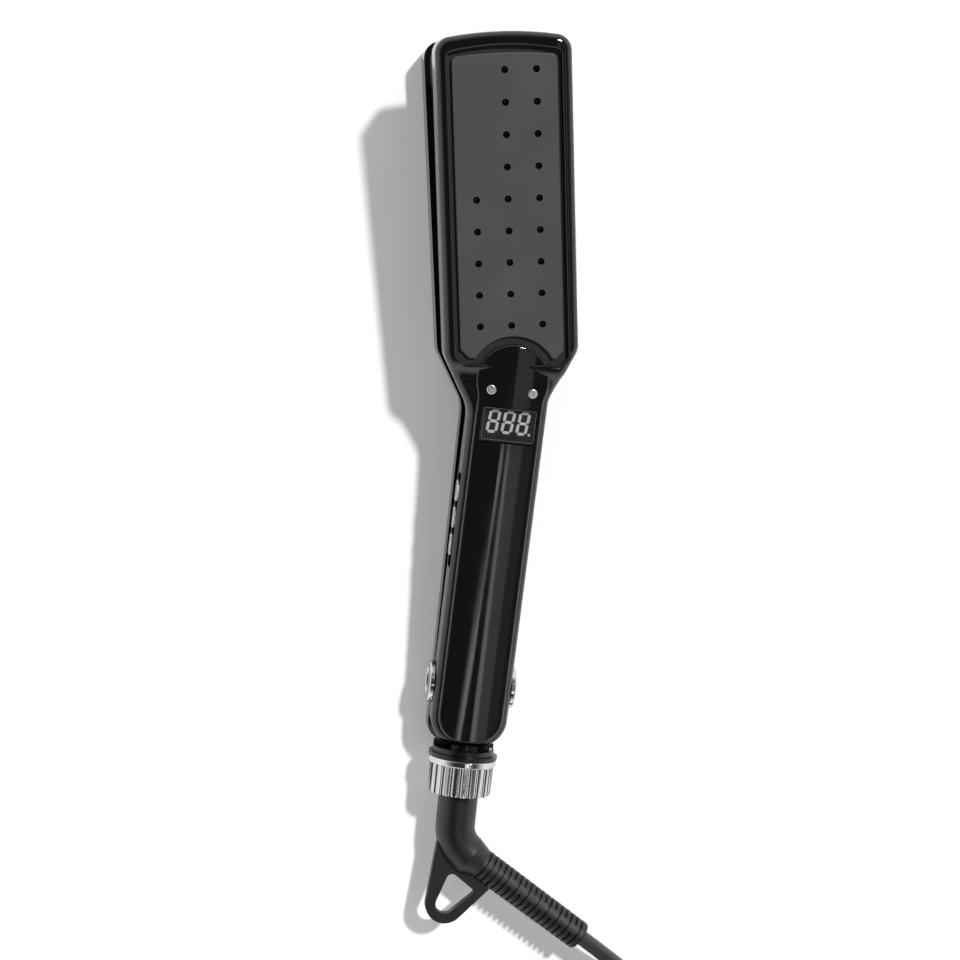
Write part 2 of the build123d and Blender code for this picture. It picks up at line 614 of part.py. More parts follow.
def power_board():
    """The board in the lower handle: transformer block, capacitor and terminal."""
    capacitor = rod(CAPACITOR_R, *CAPACITOR_Y, depth=CAPACITOR_DEPTH)
    return block(*POWER_BOARD) + block(*TRANSFORMER) + capacitor + block(*TERMINAL)


def lower_leads():
    """The two insulated leads from the slip contacts to the board."""
    start, end = SPINDLE_HEAD_Y + SNUG + BRUSH_BLOCK[2], POWER_BOARD[0][1] - SNUG
    pair = [rod(WIRE_LEAD_R, start, end, x, WIRE_LEAD_DEPTH) for x in (-WIRE_LEAD_X, WIRE_LEAD_X)]
    return Compound(children=pair)


def inner_cover():
    """The thin cover that closes a handle's inner face, slotted for the spring."""
    body = slab(arm_face(WALL + SNUG), *COVER_DEPTH)
    over = COVER_DEPTH[1] + OVER
    body &= block((-ACROSS, COVER_Y[0], 0), (ACROSS, COVER_Y[1], over))
    half, far = SPRING_SLOT
    body -= block((-half, 0, 0), (half, far, over))
    return body - HEAD_FRAME * block((-ACROSS, CARRIER_START - SNUG, 0), (ACROSS, PLATE_END, over))


def opening_spring():
    """The bent steel strip between the arms that pushes them apart."""
    foot_y, bend_y, tip_y = SPRING_Y
    half = SPRING_THICK / 2
    floor = -CROWN_CORE[3] + half + RUN
    roof = (CROWN_CORE[3] - half - SNUG) * cos(radians(OPEN)) + tip_y * sin(radians(OPEN)) - half
    bend = [(bend_y + y, floor + z) for y, z in SPRING_BEND]
    line = Polyline((foot_y, floor), (bend_y, floor), *bend, (tip_y, roof))
    return extrude(Plane.YZ * make_face(offset(line, half)), SPRING_HALF, both=True)


def hinge_caps():
    """Two bright rims, one at each end of the pin."""
    group = []
    for side in (-1, 1):
        rim = cross_rod(CAP_R, side * (HANDLE_HALF + FIT), side * CAP_FACE)
        rim -= cross_rod(CAP_DISC_R, side * (HANDLE_HALF - OVER), side * (CAP_FACE + OVER))
        outer = [e for e in rim.edges() if abs(e.center().X) > CAP_FACE - 0.01]
        group.append(fillet(outer, CAP_ROUND))
    return Compound(children=group)


def hinge_discs():
    """The two dark discs inside the rims, each with a socket for the pin's end."""
    group = []
    for side in (-1, 1):
        disc = cross_rod(CAP_DISC_R - RUN, side * (HANDLE_HALF + FIT), side * (CAP_FACE - CAP_SUNK))
        socket_end = HANDLE_HALF + PIN_END + SNUG
        group.append(disc - cross_rod(PIN_R + RUN, side * HANDLE_HALF, side * socket_end))
    return Compound(children=group)


def neck_collar():
    """The black collar: nose in the lower cradle, neck, flange and the ring's journal."""
    reach = NECK_R + OVER
    lower_half = block((-reach, NECK_Y[0] - SNUG, -reach), (reach, 0, -OVER))
    nose = rod(NOSE_R, NOSE_Y, NECK_Y[0] - SNUG)
    nose += rod(NOSE_R + NOSE_LIP, HANDLE_REAR + WALL + SNUG, NOSE_Y)
    nose += rod(NECK_R, HANDLE_REAR - SNUG, NECK_Y[0] - SNUG)
    body = rod(NECK_R, *NECK_Y) + rod(COLLAR_FLANGE_R, *COLLAR_FLANGE_Y) + (nose & lower_half)
    body += rod(JOURNAL_R, COLLAR_FLANGE_Y[1], JOURNAL_END)
    body -= rod(SPINDLE_R + RUN, 0, JOURNAL_END - OVER)
    near, far = CLIP_Y
    body -= rod(JOURNAL_R + OVER, near + RUN, far - RUN) - rod(CLIP_SEAT_R, near + OVER, far - OVER)
    return at_mid(body - rod(LOCK_R + RUN, NOSE_Y, LOCK_Y[0], LOCK_X, LOCK_DEPTH))


def ring_clip():
    """The spring clip that keeps the lock ring on its journal."""
    near, far = CLIP_Y
    clip = rod(CLIP_R, near, far) - rod(CLIP_SEAT_R + RUN, near + OVER, far - OVER)
    mouth = block((-CLIP_MOUTH, far - OVER, 0), (CLIP_MOUTH, near + OVER, CLIP_R + OVER))
    return at_mid(clip - mouth)


def lock_ring():
    """The bright ring with a smooth flange and a fluted grip, which turns to lock."""
    flange = rod(RING_FLANGE_R, *RING_FLANGE_Y)
    flange = fillet(flange.edges().filter_by(GeomType.CIRCLE), RING_ROUND)
    length = RING_FLANGE_Y[1] - RING_END
    grip = Pos(0, RING_FLANGE_Y[1] - length / 2, 0) * Rot(90, 0, 0) * Cone(RING_R, RING_END_R, length)
    for turn in range(FLUTES):
        angle = 360 * turn / FLUTES
        groove = rod(FLUTE_R, RING_FLANGE_Y[1], RING_END - OVER, x=RING_R + FLUTE_OUT)
        grip -= Rot(0, angle, 0) * groove
    body = flange + grip
    front, back = RING_FLANGE_Y[0] + OVER, RING_END - OVER
    body -= rod(JOURNAL_R + RUN, front, back)
    body -= rod(CLIP_R + 2 * FIT, CLIP_Y[0] + FIT, back)
    cam = rod(LOCK_RAD + LOCK_R + FIT, front, CAM_Y) - rod(LOCK_RAD - LOCK_R - FIT, front, CAM_Y - OVER)
    return at_mid(body - cam)


def lock_bolt():
    """The small pin that the ring's cam slides forward into the upper arm's tail."""
    pin = rod(LOCK_R, *LOCK_Y, LOCK_X, LOCK_DEPTH)
    return at_mid(fillet([e for e in pin.edges() if e.center().Y > LOCK_Y[1] - 0.01], LOCK_ROUND))


def slip_contacts():
    """The block with two sprung brushes that press on the end of the spindle."""
    face = SPINDLE_HEAD_Y + SNUG
    half, front, back, top = BRUSH_BLOCK
    body = block((-half, face + front, -FLANK_DEPTH + WALL + SNUG), (half, face + back, top))
    for x in (-BRUSH_X, BRUSH_X):
        body += rod(BRUSH_R, face, face + BRUSH_REACH, x)
    return at_mid(body)


def swivel_spindle():
    """The hollow spindle that turns in the collar and is moulded into the elbow."""
    head_end, step = NOSE_Y + SNUG, ELBOW_START + SNUG
    body = rod(SPINDLE_HEAD_R, SPINDLE_HEAD_Y, head_end) + rod(SPINDLE_R, head_end, step)
    body += rod(SPINDLE_TAIL_R, step, SPINDLE_TAIL_Y)
    return at_mid(body - rod(WIRE_R, SPINDLE_HEAD_Y + OVER, SPINDLE_TAIL_Y - OVER))


def relief_frame():
    """Frame at the elbow's corner, with its z axis along the strain relief."""
    along = (sin(radians(TURN)), -cos(radians(TURN)), 0)
    return Plane(origin=(0, CORNER_Y, 0), z_dir=along, x_dir=(0, 0, 1))


def cord_elbow():
    """The moulded elbow with its flat hang loop."""
    reach = ELBOW_BEND_R * tan(radians(TURN / 2))
    bend_start = CORNER_Y + reach
    body = rod(ELBOW_R, ELBOW_START, bend_start)
    circle = Pos(0, bend_start, 0) * Rot(90, 0, 0) * Circle(ELBOW_R)
    centre = Axis((ELBOW_BEND_R, bend_start, 0), (0, 0, 1))
    body += revolve(circle, centre, TURN)
    length = RELIEF[0] - reach
    body += relief_frame() * Pos(0, 0, reach + length / 2) * Cone(ELBOW_R, ELBOW_OUT_R, length)
    web = make_hull([e for place, radius in LOOP_WEB for e in (Pos(*place) * Circle(radius)).edges()])
    hole = make_hull([e for place, radius in LOOP_HOLE for e in (Pos(*place) * Circle(radius)).edges()])
    body += slab(web - hole, -LOOP_THICK / 2, LOOP_THICK / 2)
    body -= rod(SPINDLE_TAIL_R + RUN, ELBOW_START + OVER, SPINDLE_TAIL_Y - MELD)
    return at_mid(body - relief_frame() * post(RELIEF_R[0] + RUN, *RELIEF))


def strain_relief():
    """The grooved sleeve on the cord, a little thinner towards its blunt end."""
    start, end = RELIEF
    width, depth = GROOVE_SIZE
    body = Pos(0, 0, (start + end) / 2) * Cone(RELIEF_R[0], RELIEF_R[1], end - start)
    body = fillet([e for e in body.edges() if e.center().Z > end - 0.01], RELIEF_ROUND)
    for groove in range(GROOVES):
        at = GROOVE_FIRST + groove * GROOVE_PITCH
        radius = RELIEF_R[0] + (RELIEF_R[1] - RELIEF_R[0]) * at / (end - start)
        ring = Cylinder(RELIEF_R[0] + OVER, width) - Cylinder(radius - depth, width)
        if groove >= FULL_GROOVES and groove % 2:
            ring -= Rot(0, 0, LAND_TURN) * Box(4 * RELIEF_R[0], LAND_WIDTH, width)
        body -= Pos(0, 0, start + at) * ring
    return at_mid(relief_frame() * body)


def cord_route():
    """The cord's route from the strain relief to where it joins the coil, chosen by hand."""
    along = Vector(sin(radians(TURN)), -cos(radians(TURN)))
    exit_point = Vector(0, CORNER_Y, MID) + along * RELIEF[1]
    x, y = COIL_CENTRE
    return [
        tuple(exit_point),
        tuple(exit_point + along * EXIT_RUN),
        (x, y + 52.8, 7.0),
        (x + 15.5, y + 43.8, 3.45),
        (x + 30.0, y + 33.8, CORD_Z),
    ]


def lead_route():
    """The lead's route from the top of the coil into the plug's tail, chosen by hand."""
    x, y = COIL_CENTRE
    plug_x, plug_y = PLUG_PLACE
    return [
        (x - 4.0, y - 36.9, 17.5),
        (x - 25.7, y - 36.9, 23.0),
        (x - 43.3, y - 24.2, 24.0),
        (x - 50.0, y - 3.6, 25.8),
        (x - 43.3, y + 17.1, 28.4),
        (x - 25.7, plug_y, 31.0),
        (plug_x - PLUG_BODY[2] / 2 - LEAD_DEPTH, plug_y, plug_height()),
    ]


def cord_tube(route):
    """A stretch of cord that isn't coiled: straight runs joined by large arcs."""
    points = [Vector(*p) for p in route]
    runs = [b - a for a, b in zip(points, points[1:])]
    radii = []
    for before, after in zip(runs, runs[1:]):
        turn = before.get_angle(after)
        radii.append(ARC_SHARE * min(before.length, after.length) / tan(radians(turn / 2)))
    print("cord radii", [round(r, 1) for r in radii])
    path = FilletPolyline(*points, radius=radii)
    section = Plane(origin=path @ 0, z_dir=path % 0) * Circle(CORD_D / 2)
    tube = sweep(section, path)
    print("cord tube", round(tube.volume, 1), "section x length", round(section.area * path.length, 1))
    return tube


def cord_coil():
    """The outer shape of the wound cord, lying on the surface."""
    x, y = COIL_CENTRE
    inner = COIL_OUTER - (COIL_TURNS[0] - 0.5) * CORD_D
    height = CORD_D * len(COIL_TURNS)
    ring = Cylinder(COIL_OUTER + CORD_D / 2, height) - Cylinder(inner, height + OVER)
    ring = Pos(x, y, height / 2) * ring
    return fillet(ring.edges(), COIL_ROUND)


def plug_height():
    """Height of the plug's axis, as it lies on the coil."""
    return CORD_D * len(COIL_TURNS) + PLUG_BODY[1] / 2 + SNUG


def plug_frame():
    """Frame of the plug, lying on the coil with its pins pointing along +X."""
    return Pos(*PLUG_PLACE, plug_height())


def power_plug():
    """The moulded mains plug, with a short ribbed tail where the cord goes in."""
    width, height, length = PLUG_BODY
    body = Box(length, width, height)
    body = fillet(body.edges().filter_by(Axis.X), PLUG_SIDE_R)
    body = fillet([e for e in body.edges() if abs(e.center().X) > length / 2 - 0.01], PLUG_ROUND)
    big, small, tail = PLUG_RELIEF
    cone = Cone(big, small, tail + 2 * MELD)
    body += Pos(-length / 2 - tail / 2 + MELD, 0, 0) * Rot(0, -90, 0) * cone
    return plug_frame() * body


def plug_pins():
    """The two round pins of the plug."""
    radius, reach = PLUG_PIN
    group = []
    for side in (-1, 1):
        pin = Rot(0, 90, 0) * Cylinder(radius, reach)
        pin = fillet([e for e in pin.edges() if e.center().X > reach / 2 - 0.01], PLUG_PIN_ROUND)
        group.append(Pos(PLUG_BODY[2] / 2 + reach / 2, side * PLUG_PIN_GAP / 2, 0) * pin)
    return plug_frame() * Compound(children=group)


def build():
    """Makes every node."""
    nodes["lower_shell"] = lower_shell()
    nodes["upper_shell"] = upper_shell()
    for arm, place in (("lower", lay_lower), ("upper", raise_upper)):
        nodes[f"{arm}_vent_panel"] = place(vent_panel())
        nodes[f"{arm}_plate_carrier"] = place(carrier())
        nodes[f"{arm}_carrier_screws"] = place(carrier_screws())
        nodes[f"{arm}_plate_cushions"] = place(cushions())
        nodes[f"{arm}_plate"] = place(plate())
        nodes[f"{arm}_heater"] = place(heater())
        nodes[f"{arm}_heater_clamp"] = place(heater_clamp())
    nodes["upper_thermistor"] = raise_upper(sensor(SENSOR_VS[0]))
    nodes["lower_thermal_fuse"] = lay_lower(sensor(SENSOR_VS[1]))
    nodes["display_lens"] = raise_upper(display_lens())
    nodes["display_module"] = raise_upper(display_module())
    nodes["control_board"] = raise_upper(control_board())
    nodes["button_board"] = raise_upper(button_board())
    nodes["crown_screws"] = raise_upper(crown_screws())
    for name, y in zip(BUTTON_NAMES, BUTTON_YS):
        nodes[name] = button(y)
    nodes["upper_inner_cover"] = raise_upper(inner_cover())
    nodes["lower_inner_cover"] = lay_lower(inner_cover())
    nodes["power_board"] = lay_lower(power_board())
    nodes["lower_leads"] = lay_lower(lower_leads())
    nodes["hinge_pin"] = at_mid(cross_rod(PIN_R, -HANDLE_HALF - PIN_END, HANDLE_HALF + PIN_END))
    nodes["hinge_caps"] = at_mid(hinge_caps())
    nodes["hinge_discs"] = at_mid(hinge_discs())
    nodes["opening_spring"] = at_mid(opening_spring())
    nodes["neck_collar"] = neck_collar()
    nodes["ring_clip"] = ring_clip()
    nodes["slip_contacts"] = slip_contacts()
    nodes["lock_ring"] = lock_ring()
    nodes["lock_bolt"] = lock_bolt()
    nodes["swivel_spindle"] = swivel_spindle()
    nodes["cord_elbow"] = cord_elbow()
    nodes["strain_relief"] = strain_relief()
    nodes["cord"] = cord_tube(cord_route())
    nodes["cord_coil"] = cord_coil()
    nodes["plug_lead"] = cord_tube(lead_route())
    nodes["power_plug"] = power_plug()
    nodes["plug_pins"] = plug_pins()


build()
os.makedirs("parts", exist_ok=True)
for name, shape in nodes.items():
    export_step(shape, f"parts/{name}.step")
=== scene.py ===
from math import cos, pi, radians, sin, tan

import bpy
from mathutils import Matrix, Vector


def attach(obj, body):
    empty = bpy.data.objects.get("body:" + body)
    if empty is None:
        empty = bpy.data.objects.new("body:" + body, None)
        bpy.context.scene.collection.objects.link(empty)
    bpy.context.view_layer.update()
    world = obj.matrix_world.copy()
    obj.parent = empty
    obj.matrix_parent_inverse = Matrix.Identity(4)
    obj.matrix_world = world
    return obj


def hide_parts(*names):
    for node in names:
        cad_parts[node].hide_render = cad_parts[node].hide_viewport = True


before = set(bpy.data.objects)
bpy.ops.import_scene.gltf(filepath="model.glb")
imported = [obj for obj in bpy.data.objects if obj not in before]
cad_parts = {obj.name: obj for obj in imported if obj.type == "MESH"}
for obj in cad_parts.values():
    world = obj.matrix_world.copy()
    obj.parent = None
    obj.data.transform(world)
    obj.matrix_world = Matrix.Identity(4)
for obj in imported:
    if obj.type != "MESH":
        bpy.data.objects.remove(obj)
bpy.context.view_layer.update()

# Camera: a long lens about 0.9 m above the iron, looking almost straight down, as for a
# catalogue picture. It stands a little to the left, so that the left wall of the handle shows.
CAMERA_PLACE = (-0.13365, 0.14434, 0.900)
CAMERA_TURN = [radians(angle) for angle in (-4.7, -7.8, 6.2)]
LENS, SENSOR = 82.01, 36.0
bpy.ops.object.camera_add(location=CAMERA_PLACE, rotation=CAMERA_TURN)
camera = bpy.context.object
camera.data.lens = LENS
camera.data.sensor_width = SENSOR
bpy.context.scene.camera = camera
bpy.context.scene.view_settings.view_transform = "Standard"

# Floor: a sheet of matt white card. The camera, chrome and glass see it a little lighter than it is,
# so that the sheet runs out to white, and it keeps the iron's shadow.
FLOOR_SIZE, FLOOR_LIFT = 6.0, 0.16
CARD_WHITE, LIGHT_WHITE = "F2F2F2", "FFFFFF"


def linear(code):
    """A colour written as sRGB hex, turned to linear red, green, blue and alpha."""
    parts = [int(code[place:place + 2], 16) / 255 for place in (0, 2, 4)]
    return [part / 12.92 if part <= 0.04045 else ((part + 0.055) / 1.055) ** 2.4 for part in parts] + [1.0]


def add(owner, kind, inputs=(), **settings):
    """Adds a node to a material or world: settings are its properties, inputs are values or links."""
    node = owner.node_tree.nodes.new(kind)
    for name, value in settings.items():
        setattr(node, name, value)
    for key, value in dict(inputs).items():
        if isinstance(value, bpy.types.NodeSocket):
            owner.node_tree.links.new(value, node.inputs[key])
        else:
            node.inputs[key].default_value = value
    return node


def blank(name):
    """A new material with no nodes in it."""
    material = bpy.data.materials.new(name)
    material.use_nodes = True
    material.node_tree.nodes.clear()
    return material


bpy.ops.mesh.primitive_plane_add(size=FLOOR_SIZE)
floor = bpy.context.object
floor.name = "floor"
card = blank("matt_white_card")
ray = add(card, "ShaderNodeLightPath")
seen = add(card, "ShaderNodeMath", {0: ray.outputs["Is Camera Ray"], 1: ray.outputs["Is Glossy Ray"]},
           operation="ADD")
seen = add(card, "ShaderNodeMath", {0: seen.outputs[0], 1: ray.outputs["Is Transmission Ray"]},
           operation="ADD", use_clamp=True)
matt = add(card, "ShaderNodeBsdfDiffuse", {"Color": linear(CARD_WHITE)})
lift = add(card, "ShaderNodeEmission", {"Color": linear(LIGHT_WHITE), "Strength": FLOOR_LIFT})
both = add(card, "ShaderNodeAddShader", {0: matt.outputs[0], 1: lift.outputs[0]})
plain = add(card, "ShaderNodeBsdfDiffuse", {"Color": linear(CARD_WHITE)})
either = add(card, "ShaderNodeMixShader",
             {0: seen.outputs[0], 1: plain.outputs[0], 2: both.outputs[0]})
add(card, "ShaderNodeOutputMaterial", {"Surface": either.outputs[0]})
floor.data.materials.append(card)

# Studio: white walls low down and a dark ceiling, one hard key light from the upper right, and a row of
# flat panels hung over the table. They draw the two bright streaks along the crown, with a thin dark
# line between them, and the dimmer bands to the right of it.
studio = bpy.data.worlds.new("studio")
bpy.context.scene.world = studio
studio.use_nodes = True
studio.node_tree.nodes.clear()
HORIZON, CEILING = 1.2, 0.04    # brightness of the walls and of the ceiling
FADE_FROM, FADE_TO = 0.2, 0.85  # height of a direction from which the walls fade into the ceiling
way = add(studio, "ShaderNodeTexCoord")
height = add(studio, "ShaderNodeSeparateXYZ", {0: way.outputs["Generated"]})
fade = add(studio, "ShaderNodeMapRange",
           {"Value": height.outputs["Z"], "From Min": FADE_FROM, "From Max": FADE_TO,
            "To Min": HORIZON, "To Max": CEILING}, interpolation_type="SMOOTHSTEP")
ray = add(studio, "ShaderNodeLightPath")
walls = add(studio, "ShaderNodeBackground", {"Color": linear(LIGHT_WHITE), "Strength": fade.outputs[0]})
white = add(studio, "ShaderNodeBackground", {"Color": linear(LIGHT_WHITE), "Strength": 1.0})
backdrop = add(studio, "ShaderNodeMixShader",
               {0: ray.outputs["Is Camera Ray"], 1: walls.outputs[0], 2: white.outputs[0]})
add(studio, "ShaderNodeOutputWorld", {"Surface": backdrop.outputs[0]})

SUN_WAY = (0.40, 0.60, 1.0)
SUN_POWER, SUN_WIDTH = 2.6, radians(4.0)
bpy.ops.object.light_add(type="SUN")
key = bpy.context.object
key.name = "key_light"
key.rotation_euler = Vector(SUN_WAY).to_track_quat("Z", "Y").to_euler()
key.data.energy = SUN_POWER
key.data.angle = SUN_WIDTH

PANEL_HEIGHT = 1.6
STREAK_TURN = radians(-26.6)


def light_panel(name, middle, size, radiance, turn=0.0):
    """A level light panel over the table: its power is worked out from its radiance and its size."""
    bpy.ops.object.light_add(type="AREA", location=(*middle, PANEL_HEIGHT), rotation=(0, 0, turn))
    lamp = bpy.context.object
    lamp.name = name
    lamp.data.shape = "RECTANGLE"
    lamp.data.size, lamp.data.size_y = size
    lamp.data.energy = radiance * pi * size[0] * size[1]


light_panel("streak_light", middle=(0.095, -0.53), size=(0.065, 0.47), radiance=2.4, turn=STREAK_TURN)
light_panel("streak_fringe", middle=(0.035, -0.53), size=(0.045, 0.47), radiance=0.8, turn=STREAK_TURN)
light_panel("near_panel", middle=(0.36, -0.53), size=(0.14, 0.42), radiance=1.9)
light_panel("middle_panel", middle=(0.55, -0.53), size=(0.24, 0.42), radiance=0.6)
light_panel("far_panel", middle=(0.815, -0.53), size=(0.29, 0.42), radiance=0.17)
light_panel("head_panel", middle=(0.50, 0.10), size=(0.42, 0.80), radiance=0.45)

# Cord: a two-core mains lead in an extruded PVC sheath, 6.5 mm thick and a little over 2.5 m long. It
# leaves the strain relief, comes down to the table and is wound up in three layers, with the plug on top.
CORD_D = 0.0065
EXIT = (0.05771, -0.10268, 0.0145)
COIL_CENTRE = (0.086, -0.1750)
COIL_OUTER = 0.0447
COIL_LAYERS = (4, 4, 3)
COIL_START = radians(48.4)
STEPS, LAST_STEPS = 16, 6  # points to a turn, and points of the last turn, which ends early
CHORD = cos(pi / STEPS)    # a spline through the points' polygon runs this much nearer the middle
SHIFT = (0.72, 1.00)       # the share of a turn in which it moves over to the next turn's radius
CLIMB = (0.45, 0.73)       # the share of a turn in which it climbs to the next layer
LAST_CLIMB = (0.05, 0.30)  # the same for the last turn
route = [EXIT, (0.07046, -0.11059, 0.0145), (0.086, -0.1222, 0.007), (0.1015, -0.1312, 0.00345),
         (0.116, -0.1412, 0.00325)]
lead = [(0.0823, -0.2119, 0.0229), (0.0603, -0.2119, 0.0230), (0.0427, -0.1992, 0.0240),
        (0.0360, -0.1786, 0.0258), (0.0427, -0.1579, 0.0284), (0.0603, -0.1452, 0.0310),
        (0.0820, -0.1452, 0.0316)]


def ease(share, span):
    """A smooth step from 0 to 1, which the share takes within the span."""
    value = min(max((share - span[0]) / (span[1] - span[0]), 0.0), 1.0)
    return value * value * (3 - 2 * value)


def coil_points():
    """The turns, layer on layer: each keeps its radius, then eases over to the next one's."""
    turns = []
    for layer, count in enumerate(COIL_LAYERS):
        radii = [COIL_OUTER - CORD_D * ring for ring in range(count)]
        if layer % 2:
            radii.reverse()
        turns += [(radius, CORD_D * (layer + 0.5)) for radius in radii]
    turns.append((turns[-1][0], lead[0][2]))
    for index, (here, above) in enumerate(zip(turns, turns[1:])):
        last = index == len(turns) - 2
        for step in range(LAST_STEPS if last else STEPS):
            share = step / STEPS
            if index == 0 and step == 0:
                continue
            across = here[0] + (above[0] - here[0]) * ease(share, SHIFT)
            rise = ease(share, LAST_CLIMB if last else CLIMB)
            angle = COIL_START - 2 * pi * (index + share)
            yield (COIL_CENTRE[0] + across / CHORD * cos(angle),
                   COIL_CENTRE[1] + across / CHORD * sin(angle), here[1] + (above[1] - here[1]) * rise)


def laid_cord(name, points, diameter):
    """A round cord along one smooth spline through the points' polygon."""
    curve = bpy.data.curves.new(name, "CURVE")
    curve.dimensions = "3D"
    curve.bevel_depth = diameter / 2
    curve.bevel_resolution = 5
    curve.use_fill_caps = True
    curve.resolution_u = 8
    spline = curve.splines.new("NURBS")
    spline.points.add(len(points) - 1)
    for point, place in zip(spline.points, points):
        point.co = (*place, 1.0)
    spline.order_u = 3
    spline.use_endpoint_u = True
    piece = bpy.data.objects.new(name, curve)
    bpy.context.scene.collection.objects.link(piece)
    return piece


WEAR_PATCH = 22  # millimetres


def moulded(name, colour, shade, roughness, spread, grain, relief, ior=1.5):
    """A moulded plastic or rubber: a fine tool grain, and broad soft patches of wear from hands.

    The patches turn the colour to the shade and the roughness up and down by the spread. grain is the
    size of the tool's texture in millimetres, drawn as coarse as it needs to show, and relief its height.
    """
    material = blank(name)
    place = add(material, "ShaderNodeTexCoord")
    fine = add(material, "ShaderNodeTexNoise",
               {"Vector": place.outputs["Object"], "Scale": 1000 / grain, "Detail": 3.0, "Roughness": 0.6})
    broad = add(material, "ShaderNodeTexNoise",
                {"Vector": place.outputs["Object"], "Scale": 1000 / WEAR_PATCH, "Detail": 4.0,
                 "Roughness": 0.55})
    tint = add(material, "ShaderNodeMix", {0: broad.outputs["Fac"], 6: linear(colour), 7: linear(shade)},
               data_type="RGBA")
    dull = add(material, "ShaderNodeMapRange",
               {"Value": broad.outputs["Fac"], "From Min": 0.3, "From Max": 0.7,
                "To Min": roughness - spread, "To Max": roughness + spread})
    bump = add(material, "ShaderNodeBump",
               {"Height": fine.outputs["Fac"], "Distance": relief / 1000, "Strength": 1.0})
    shader = add(material, "ShaderNodeBsdfPrincipled",
                 {"Base Color": tint.outputs[2], "Roughness": dull.outputs[0], "IOR": ior,
                  "Normal": bump.outputs[0]})
    add(material, "ShaderNodeOutputMaterial", {"Surface": shader.outputs[0]})
    return material


sheath = moulded("extruded_pvc_sheath", "2E2E2F", "373738",
                 roughness=0.27, spread=0.06, grain=0.5, relief=0.010)
cord_points = [*route, *coil_points(), *lead]
cord = laid_cord("mains_cord", cord_points, CORD_D)
cord.data.materials.append(sheath)
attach(cord, "cord_swivel")
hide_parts("cord", "cord_coil", "plug_lead")

# Mains plug: the PVC body is moulded round two nickel-plated brass pins and the end of the lead. It is
# rounded for the hand, with finger grooves across it and a tail that is ringed so that it can bend.
PLUG_PLACE = (0.110, -0.1452, 0.0316)
PLUG_BODY = (0.040, 0.035, 0.024)
PLUG_SIDE_R = 0.011
PLUG_TAIL, TAIL_R = 0.020, (0.0038, 0.0052)
TAIL_RINGS, GRIPS, GRIP_PITCH = 5, 6, 0.0031
FIRST_GRIP = 0.45  # share of half the body's length from its middle back to the first groove
# Profiles: each step is a share of the stretch's length, and there a share of the full thickness.
TAIL_RING = ((0.0, 1.0), (0.55, 1.0), (0.60, 0.86), (0.92, 0.86), (0.97, 1.0))
SHOULDER = ((0.0, 0.30), (0.02, 0.62), (0.06, 0.86), (0.12, 0.96), (0.2, 1.0))
GRIP_GROOVE = ((0.0, 1.0), (0.18, 0.93), (0.5, 0.93), (0.68, 1.0))
FACE_EDGE = ((0.92, 1.0), (0.97, 0.985), (1.0, 0.95))


def cleared():
    """Deselects everything, so that the next operator acts on its own piece alone."""
    if bpy.context.object and bpy.context.object.mode != "OBJECT":
        bpy.ops.object.mode_set(mode="OBJECT")
    bpy.ops.object.select_all(action="DESELECT")


def settled(piece, name, angle=35.0):
    """Names a modelled piece, puts its place into its mesh and smooths it by angle."""
    bpy.ops.object.mode_set(mode="OBJECT")
    piece.name = name
    bpy.ops.object.transform_apply(location=True, rotation=True, scale=True)
    bpy.ops.object.mode_set(mode="EDIT")
    bpy.ops.mesh.select_all(action="SELECT")
    bpy.ops.mesh.remove_doubles(threshold=1e-6)
    bpy.ops.mesh.normals_make_consistent(inside=False)
    bpy.ops.object.mode_set(mode="OBJECT")
    bpy.ops.object.shade_smooth_by_angle(angle=radians(angle))


def plug_stations():
    """The plug's sections from its tail to its face: place along it, and half its width and height."""
    half_long, half_wide, half_tall = (side / 2 for side in PLUG_BODY)
    small, big = TAIL_R
    for ring in range(TAIL_RINGS):
        start = -half_long - PLUG_TAIL + ring * PLUG_TAIL / TAIL_RINGS
        radius = small + (big - small) * ring / TAIL_RINGS
        for share, waist in TAIL_RING:
            yield start + share * PLUG_TAIL / TAIL_RINGS, radius * waist, radius * waist
    for share, grow in SHOULDER:
        yield -half_long + share * half_long, half_wide * grow, half_tall * grow
    first = -half_long * FIRST_GRIP
    for grip in range(GRIPS):
        for share, waist in GRIP_GROOVE:
            yield first + (grip + share) * GRIP_PITCH, half_wide * waist, half_tall * waist
    for share, grow in FACE_EDGE:
        yield share * half_long, half_wide * grow, half_tall * grow


cleared()
stations = list(plug_stations())
bpy.ops.mesh.primitive_plane_add(size=1.0)
plug = bpy.context.object
for corner in plug.data.vertices:
    corner.co = (0.0, corner.co.x * PLUG_BODY[1], corner.co.y * PLUG_BODY[2])
bpy.ops.object.mode_set(mode="EDIT")
bpy.ops.mesh.select_all(action="SELECT")
bpy.ops.mesh.bevel(offset=PLUG_SIDE_R, segments=9, affect="VERTICES")
here = (0.0, PLUG_BODY[1] / 2, PLUG_BODY[2] / 2)
for index, station in enumerate(stations):
    if index:
        bpy.ops.mesh.extrude_region_move(TRANSFORM_OT_translate={"value": (station[0] - here[0], 0, 0)})
    else:
        bpy.ops.transform.translate(value=(station[0], 0, 0))
    bpy.ops.transform.resize(value=(1.0, station[1] / here[1], station[2] / here[2]))
    here = station
bpy.ops.object.mode_set(mode="OBJECT")
plug.location = PLUG_PLACE
settled(plug, "mains_plug")
plug_rubber = moulded("moulded_pvc_plug", "1A1A1B", "212122",
                      roughness=0.42, spread=0.07, grain=0.6, relief=0.02)
plug.data.materials.append(plug_rubber)
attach(plug, "cord_swivel")
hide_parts("power_plug")


def dress(material, *names):
    """Gives the pieces of these names the material."""
    for name in names:
        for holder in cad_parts[name].material_slots:
            holder.material = material


HAZE_PATCH = 6  # millimetres


